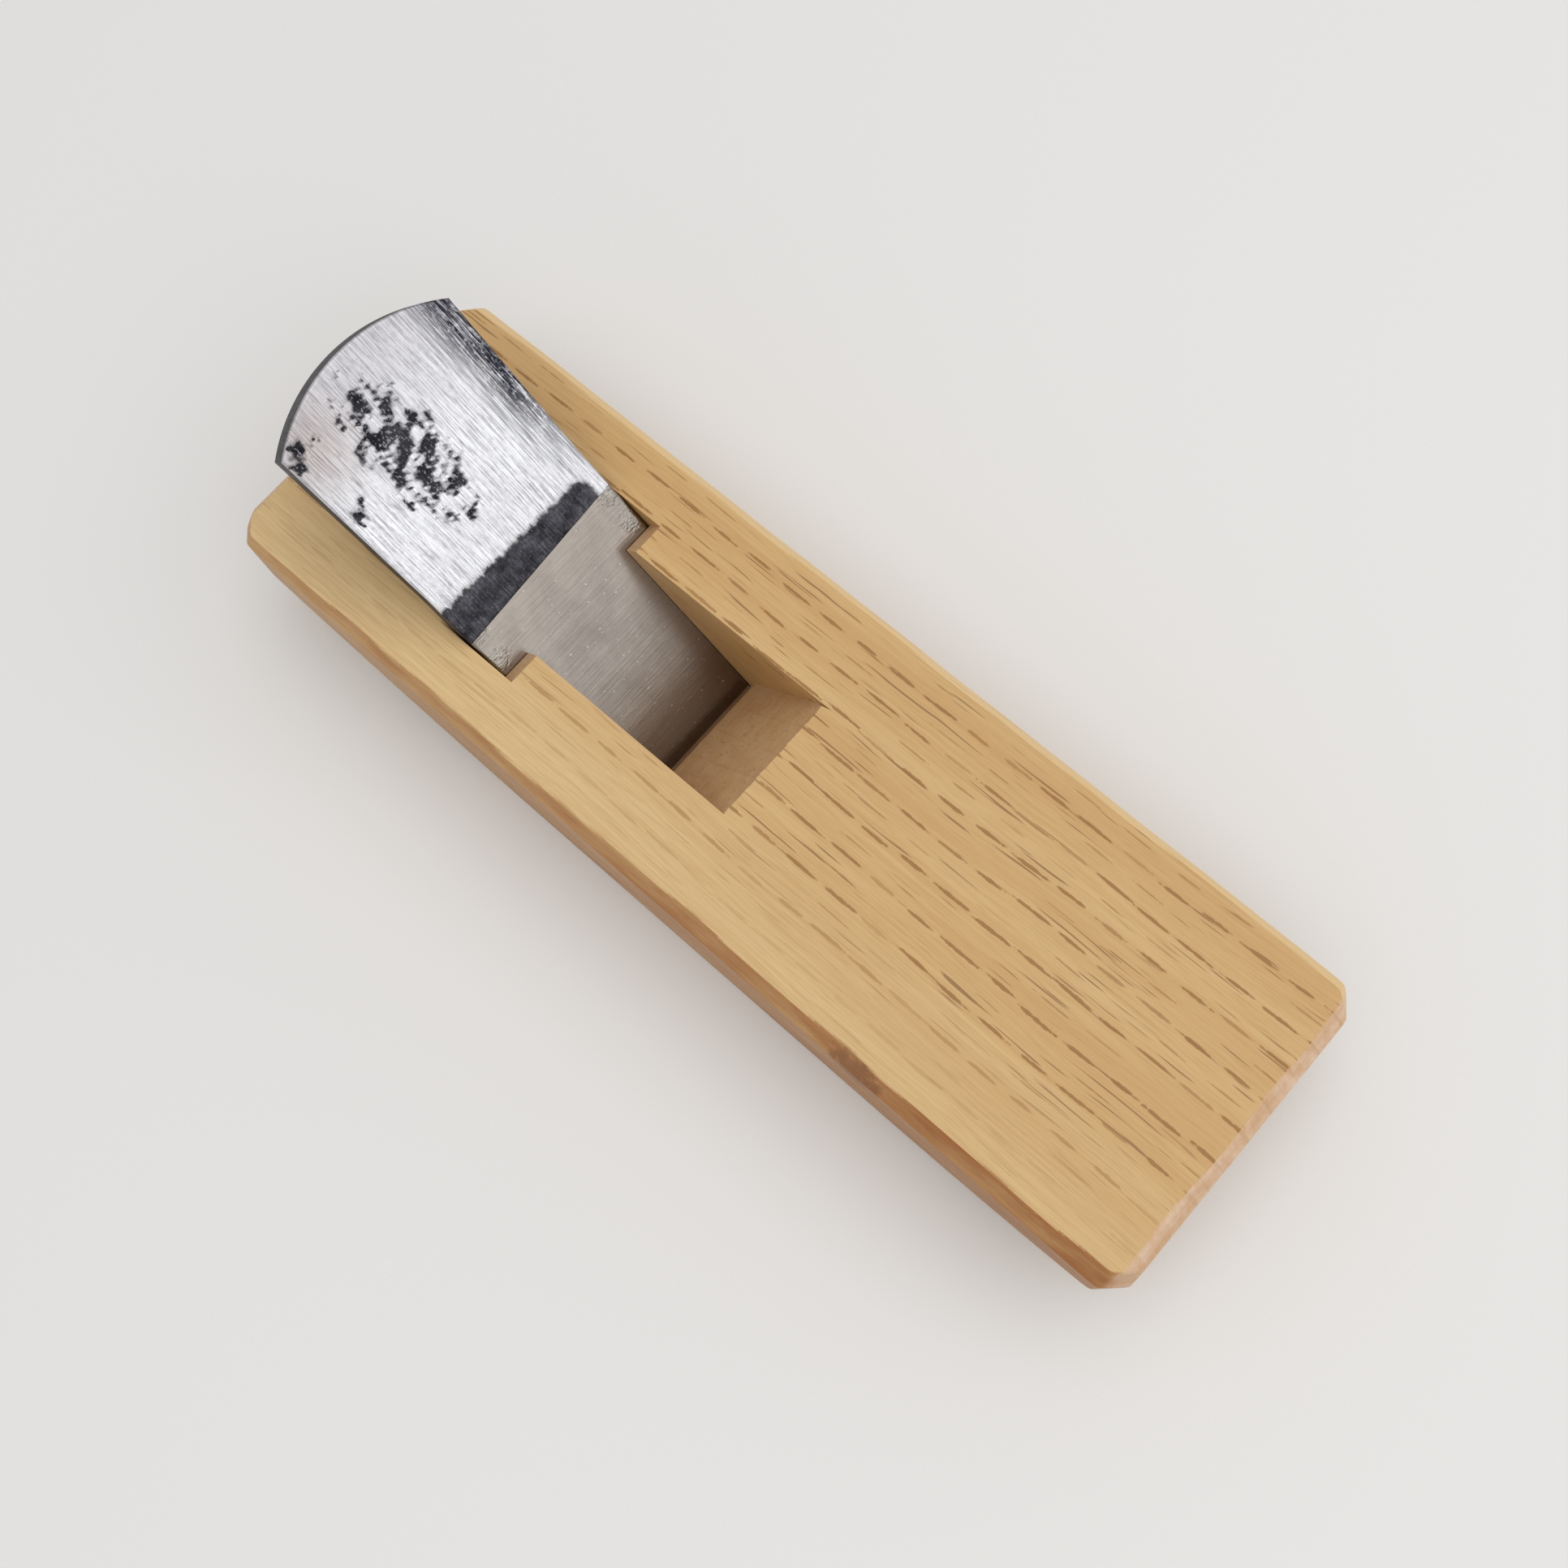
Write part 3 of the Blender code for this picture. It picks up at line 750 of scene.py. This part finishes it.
def iron_skin():
    """The wedge: a face from the head to the weld, a step down to the steel's seat, a back and a bevel.

    The face is flat less a quarter-round along its rim, low hammer waves, and dips where scale is left.
    With the points and faces come two marks: where the face is filed, and how much scale is left on it.
    """
    share = np.sin(np.pi / 2 * np.linspace(-1, 1, IRON_COLUMNS))
    run = (1 - np.cos(np.pi / 2 * np.linspace(0, 1, IRON_ROWS)))[:, None] ** 0.9
    foot = STEEL_TOP - WELD_TILT * HALF_BLADE * share - WELD_LINE
    step = STEEL_THICKNESS + WELD_LINE
    heel_tip = EDGE_AT - step / np.tan(BEVEL_ANGLE)
    head = -HEAD_STANDOUT - crown(share * (HALF_BLADE + HEAD_FLARE))
    u = head + (foot - head) * run
    w = share * half_blade(u)
    band, patch, pits = scale_left(u, w)
    rim = np.minimum(half_blade(u) - np.abs(w), u - head)
    v = -rounded(rim) + HAMMER_DEPTH * lumps(u, w, HAMMER_SPAN, 41) - HAMMER_DEPTH
    v -= BAND_DEPTH * band + PATCH_DEPTH * patch + PIT_DEPTH * pits
    face = in_block(u, w, v)

    even = np.ones(share.shape)
    seat_u = np.stack((foot, SEAT_MIDDLE * even, (EDGE_AT - EAR_GRIND) * even, heel_tip * even))
    seat = in_block(seat_u, share * half_blade(seat_u), -step)
    front = np.concatenate((face, seat))

    taper = (HEAD_THICKNESS - EDGE_THICKNESS) / (EDGE_AT - HEAD_AT)
    bevel_heel = EDGE_AT - EDGE_THICKNESS / (np.tan(BEVEL_ANGLE) - taper)
    low_u = np.stack((foot, SEAT_MIDDLE * even, bevel_heel * even, heel_tip * even))
    back_u = np.concatenate((u, low_u))
    back_w = share * half_blade(back_u)
    depth = blade_back(back_u)
    depth[-1] = step
    back_rim = np.minimum(half_blade(back_u) - np.abs(back_w), back_u - head)
    depth[:-2] -= rounded(back_rim)[:-2]
    points, faces = shell(front, in_block(back_u, back_w, -depth))
    filed = np.zeros(len(points))
    filed[:u.size] = (rim > UNFILED_RIM).reshape(-1)
    scale = np.zeros(len(points))
    scale[:u.size] = np.maximum(np.maximum(band, patch), pits).reshape(-1)
    return points, faces, {"filed": filed, "scale_left": scale}


def blade_place(tree):
    """Places on the blade in millimetres: x down the face, y across it, z off it."""
    place = add(tree, "TexCoord").outputs["Object"]
    turn = add(tree, "Mapping", {"Vector": place}, vector_type="TEXTURE")
    turn.inputs["Location"].default_value = BLADE_TOP * MM
    turn.inputs["Rotation"].default_value = (0, BLADE_ANGLE, 0)
    turn.inputs["Scale"].default_value = (MM,) * 3
    return turn.outputs["Vector"]


def iron_material():
    """Filed wrought iron: bright, with coarse lengthwise file marks, blue-black scale and brown stains.

    File marks spread the lamp across the blade. Scale is darker and rougher than the bare metal.
    """
    material, tree, shader = new_material("filed_iron")
    place = blade_place(tree)
    axis = add(tree, "SeparateXYZ", {"Vector": place})

    # File marks are about 0.15 mm apart, drawn 0.22 mm apart so that they show. Cross strokes under
    # 1 mm long break them up, and the scale has grit of about 0.4 mm.
    mark_place = add(tree, "VectorMath", {0: place, 1: (1 / 6, 1 / 0.22, THROUGH)}, operation="MULTIPLY")
    marks = add(tree, "TexNoise", {"Vector": mark_place, "Scale": 1.0, "Detail": 4.0, "Roughness": 0.7})
    cross_place = add(tree, "VectorMath", {0: place, 1: (1 / 0.9, 1 / 0.6, THROUGH)},
                      operation="MULTIPLY")
    crossed = add(tree, "TexNoise",
                  {"Vector": cross_place, "Scale": 1.0, "Detail": 4.0, "Roughness": 0.7})
    grit_place = add(tree, "VectorMath", {0: place, 1: (1 / 0.5, 1 / 0.35, THROUGH)},
                     operation="MULTIPLY")
    grit = add(tree, "TexNoise", {"Vector": grit_place, "Scale": 1.0, "Detail": 2.0})
    line = add(tree, "Math", {0: crossed, 1: 0.3, 2: marks}, operation="MULTIPLY_ADD")
    bright = add(tree, "MapRange", {"Value": line, "From Min": 0.46, "From Max": 0.72})
    colour = add(tree, "Mix", {"Factor": bright, "A": linear(FILED_DARK), "B": linear(FILED_BRIGHT)},
                 data_type="RGBA")

    # The head is duller and warmer than the rest.
    dull = add(tree, "MapRange",
               {"Value": axis.outputs["X"], "From Min": -22.0, "From Max": -40.0, "To Max": 0.5})
    colour = add(tree, "Mix", {"Factor": dull, "A": colour, "B": linear(HEAD_DULL)}, data_type="RGBA")

    # A blue-grey stain runs down the far edge, and a brown one lies at the near corner of the head.
    stain = add(tree, "MapRange", {"Value": axis.outputs["Y"], "From Min": 9.0, "From Max": 13.5})
    reach = add(tree, "MapRange", {"Value": axis.outputs["X"], "From Min": -6.0, "From Max": -22.0})
    stain = add(tree, "Math", {0: stain, 1: reach}, operation="MULTIPLY")
    blotch = add(tree, "MapRange", {"Value": crossed, "From Min": 0.32, "From Max": 0.48})
    streak = add(tree, "MapRange", {"Value": marks, "From Min": 0.68, "From Max": 0.50})
    blotch = add(tree, "Math", {0: blotch, 1: streak}, operation="MULTIPLY")
    stain = add(tree, "Math", {0: stain, 1: blotch}, operation="MULTIPLY")
    colour = add(tree, "Mix", {"Factor": stain, "A": colour, "B": linear(BLUE_STAIN)}, data_type="RGBA")
    away = add(tree, "VectorMath", {0: place, 1: BROWN_AT}, operation="DISTANCE").outputs["Value"]
    brown = add(tree, "MapRange", {"Value": away, "From Min": 9.0, "From Max": 2.0, "To Max": 0.65})
    brown = add(tree, "Math", {0: brown, 1: crossed}, operation="MULTIPLY")
    colour = add(tree, "Mix", {"Factor": brown, "A": colour, "B": linear(BROWN_STAIN)}, data_type="RGBA")

    # Scale lies on the marked places, made ragged by the file marks that cut into them, and on all
    # that isn't filed.
    left = add(tree, "Attribute", attribute_name="scale_left").outputs["Fac"]
    ragged = add(tree, "Math", {0: marks, 1: crossed}, operation="ADD")
    ragged = add(tree, "Math", {0: ragged, 1: 1.0}, operation="SUBTRACT")
    scale = add(tree, "Math", {0: ragged, 1: 1.3, 2: left}, operation="MULTIPLY_ADD")
    scale = add(tree, "MapRange", {"Value": scale, "From Min": 0.28, "From Max": 0.78})
    filed = add(tree, "Attribute", attribute_name="filed").outputs["Fac"]
    unfiled = add(tree, "Math", {0: 1.0, 1: filed}, operation="SUBTRACT")
    scale = add(tree, "Math", {0: scale, 1: unfiled}, operation="MAXIMUM")

    # The band is rubbed grey in clouds of 2 to 4 mm. The patch above it is blacker, with bright crumbs.
    tone = add(tree, "Math", {0: crossed, 1: 0.6, 2: marks}, operation="MULTIPLY_ADD")
    rubbed = add(tree, "MapRange", {"Value": tone, "From Min": 0.55, "From Max": 1.05})
    cloud_place = add(tree, "VectorMath", {0: place, 1: (1 / 2.5, 1 / 3.5, THROUGH)},
                      operation="MULTIPLY")
    cloud = add(tree, "TexNoise", {"Vector": cloud_place, "Scale": 1.0, "Detail": 3.0})
    cloud = add(tree, "MapRange",
                {"Value": cloud, "From Min": 0.35, "From Max": 0.65, "To Min": 0.35, "To Max": 1.3})
    rubbed = add(tree, "Math", {0: rubbed, 1: cloud}, operation="MULTIPLY")
    to_band = add(tree, "MapRange",
                  {"Value": axis.outputs["X"], "From Min": -14.0, "From Max": -9.0, "To Min": 0.5})
    rubbed = add(tree, "Math", {0: rubbed, 1: to_band}, operation="MULTIPLY")
    crust = add(tree, "Mix", {"Factor": rubbed, "A": linear(SCALE_DARK), "B": linear(SCALE_RUBBED)},
                data_type="RGBA")
    crumb = add(tree, "MapRange", {"Value": grit, "From Min": 0.58, "From Max": 0.70})
    coarse = add(tree, "MapRange", {"Value": to_band, "From Min": 0.5, "To Min": 0.65, "To Max": 0.12})
    coarse = add(tree, "Math", {0: coarse, 1: filed}, operation="MULTIPLY")
    crumb = add(tree, "Math", {0: crumb, 1: coarse}, operation="MULTIPLY")
    crust = add(tree, "Mix", {"Factor": crumb, "A": crust, "B": linear(SCALE_CRUMB)}, data_type="RGBA")
    colour = add(tree, "Mix", {"Factor": scale, "A": colour, "B": crust}, data_type="RGBA")
    join(tree, colour, shader.inputs["Base Color"])

    shader.inputs["Metallic"].default_value = 1.0
    rough = add(tree, "MapRange",
                {"Value": marks, "From Min": 0.3, "From Max": 0.7,
                 "To Min": FILED_ROUGHNESS[0], "To Max": FILED_ROUGHNESS[1]})
    rough = add(tree, "Mix", {"Factor": scale, "A": rough, "B": SCALE_ROUGHNESS}, data_type="FLOAT")
    join(tree, rough, shader.inputs["Roughness"])
    crumbs = add(tree, "Math", {0: scale, 1: grit}, operation="MULTIPLY")
    relief = add(tree, "Math", {0: crossed, 1: 0.5, 2: marks}, operation="MULTIPLY_ADD")
    relief = add(tree, "Math", {0: crumbs, 1: 1.6, 2: relief}, operation="MULTIPLY_ADD")
    bump = add(tree, "Bump", {"Strength": 0.6, "Distance": FILE_DEPTH * MM, "Height": relief})
    join(tree, bump, shader.inputs["Normal"])
    return material


iron_mesh = closed_mesh("forged_iron", *iron_skin())
crisp(iron_mesh, BLADE_CRISP)
iron_mesh.materials.append(iron_material())
iron = link_object("forged_iron", iron_mesh)
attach(iron, "blade")
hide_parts("blade_iron")

# Hard steel of the blade
# A thin plate of tool steel forge-welded to the iron. Its face is ground flat with a slight hollow and
# honed across, which leaves it satin, and it ends in the cutting edge.

HOLLOW_DEPTH = 0.10
HOLLOW_AT = 18.0
HOLLOW_HALF = (12.0, 7.5)
SHARP_REACH = 4.0           # length over which the rounded sides run out to the sharp edge
STEEL_ROWS = 90
STEEL_COLUMNS = 61

STEEL_DARK = "#968E86"
STEEL_LIGHT = "#A9A098"
STEEL_DULL = "#6F675F"
# Painted shade on the steel towards the mouth and its far corner.
MOUTH_SHADE_COLOUR = "#5C4C3C"
LUMP_DARK = "#665F56"
LUMP_LIGHT = "#C6C0B8"
LUMP_AT = (2.6, 13.8, 0.0)
EDGE_BRIGHT = "#DCD9D5"
SPECK_COLOUR = "#C9C4BF"
STEEL_ROUGHNESS = (0.20, 0.28)
HONE_DEPTH = 0.05
KEEN_WIDTH = 0.5
KEEN_FADE = 0.2


def steel_skin():
    """The plate: a face from the weld to the edge with a smooth dish in it, and a flat back.

    The dish is its depth times a flat-topped bell, which falls with the fourth power of the distance
    from its middle. The back ends where the bevel meets it.
    """
    share = np.sin(np.pi / 2 * np.linspace(-1, 1, STEEL_COLUMNS))
    run = np.linspace(0, 1, STEEL_ROWS)[:, None]
    weld = STEEL_TOP - WELD_TILT * HALF_BLADE * share
    u = weld + (EDGE_AT - weld) * run
    w = share * half_blade(u)
    bowl = np.hypot((u - HOLLOW_AT) / HOLLOW_HALF[0], w / HOLLOW_HALF[1])
    rim = np.minimum(half_blade(u) - np.abs(w), EDGE_ROUND)
    v = -rounded(rim) * ramp(EDGE_AT - u, 0, SHARP_REACH) - HOLLOW_DEPTH * np.exp(-bowl ** 4)
    back_end = EDGE_AT - STEEL_THICKNESS / np.tan(BEVEL_ANGLE)
    back_u = weld + (back_end - weld) * run
    return shell(in_block(u, w, v), in_block(back_u, share * half_blade(back_u), -STEEL_THICKNESS))


def steel_material():
    """Honed tool steel: satin warm grey with fine scratches across the blade and a few bright specks.

    It is smooth enough to mirror the throat's walls softly, and it is painted darker towards the mouth,
    as shade.
    """
    material, tree, shader = new_material("honed_steel")
    place = blade_place(tree)
    axis = add(tree, "SeparateXYZ", {"Vector": place})

    # Honing scratches are under 0.05 mm apart, drawn 0.3 mm apart so that they show.
    hone_place = add(tree, "VectorMath", {0: place, 1: (1 / 0.30, 1 / 9, THROUGH)}, operation="MULTIPLY")
    hone = add(tree, "TexNoise", {"Vector": hone_place, "Scale": 1.0, "Detail": 3.0, "Roughness": 0.7})
    cloud_place = add(tree, "VectorMath", {0: place, 1: (1 / 7, 1 / 5, THROUGH)}, operation="MULTIPLY")
    cloud = add(tree, "TexNoise",
                {"Vector": cloud_place, "Scale": 1.0, "Detail": 4.0, "Roughness": 0.6})
    speck_place = add(tree, "VectorMath", {0: place, 1: (1 / 0.5, 1 / 0.8, THROUGH)},
                      operation="MULTIPLY")
    grit = add(tree, "TexNoise", {"Vector": speck_place, "Scale": 1.0, "Detail": 2.0})
    speck = add(tree, "MapRange", {"Value": grit, "From Min": 0.68, "From Max": 0.76})
    tone = add(tree, "MapRange", {"Value": hone, "From Min": 0.3, "From Max": 0.7})
    colour = add(tree, "Mix", {"Factor": tone, "A": linear(STEEL_DARK), "B": linear(STEEL_LIGHT)},
                 data_type="RGBA")
    dull = add(tree, "MapRange", {"Value": cloud, "From Min": 0.4, "From Max": 0.7, "To Max": 0.25})
    colour = add(tree, "Mix", {"Factor": dull, "A": colour, "B": linear(STEEL_DULL)}, data_type="RGBA")

    # Painted shade darkens the steel towards the mouth, most at its far corner under the far wall.
    # Dust and resin gather in lumps at the two notches.
    deep = add(tree, "Math", {0: axis.outputs["Y"], 1: 0.4, 2: axis.outputs["X"]},
               operation="MULTIPLY_ADD")
    mouth_shade = add(tree, "MapRange", {"Value": deep, "From Min": 12.0, "From Max": 32.0, "To Max": 0.55})
    colour = add(tree, "Mix", {"Factor": mouth_shade, "A": colour, "B": linear(MOUTH_SHADE_COLOUR)},
                 data_type="RGBA")
    folded = add(tree, "VectorMath", {0: place}, operation="ABSOLUTE")
    away = add(tree, "VectorMath", {0: folded, 1: LUMP_AT}, operation="DISTANCE").outputs["Value"]
    lump = add(tree, "Math", {0: grit, 1: 3.5, 2: away}, operation="MULTIPLY_ADD")
    lump = add(tree, "MapRange", {"Value": lump, "From Min": 3.6, "From Max": 2.8})
    crust = add(tree, "Mix", {"Factor": grit, "A": linear(LUMP_DARK), "B": linear(LUMP_LIGHT)},
                data_type="RGBA")
    colour = add(tree, "Mix", {"Factor": lump, "A": colour, "B": crust}, data_type="RGBA")

    # The last half millimetre is polished bright on a finer stone.
    keen = add(tree, "MapRange",
               {"Value": axis.outputs["X"], "From Min": EDGE_AT - (KEEN_WIDTH + KEEN_FADE),
                "From Max": EDGE_AT - KEEN_WIDTH})
    colour = add(tree, "Mix", {"Factor": keen, "A": colour, "B": linear(EDGE_BRIGHT)}, data_type="RGBA")
    colour = add(tree, "Mix", {"Factor": speck, "A": colour, "B": linear(SPECK_COLOUR)},
                 data_type="RGBA")
    join(tree, colour, shader.inputs["Base Color"])

    shader.inputs["Metallic"].default_value = 1.0
    rough = add(tree, "MapRange",
                {"Value": cloud, "From Min": 0.3, "From Max": 0.7,
                 "To Min": STEEL_ROUGHNESS[0], "To Max": STEEL_ROUGHNESS[1]})
    join(tree, rough, shader.inputs["Roughness"])
    relief = add(tree, "Math", {0: lump, 1: grit}, operation="MULTIPLY")
    relief = add(tree, "Math", {0: relief, 1: 6.0, 2: hone}, operation="MULTIPLY_ADD")
    bump = add(tree, "Bump", {"Strength": 0.35, "Distance": HONE_DEPTH * MM, "Height": relief})
    join(tree, bump, shader.inputs["Normal"])
    return material


steel_mesh = closed_mesh("hard_steel", *steel_skin())
crisp(steel_mesh, BLADE_CRISP)
steel_mesh.materials.append(steel_material())
steel = link_object("hard_steel", steel_mesh)
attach(steel, "blade")
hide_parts("blade_steel")
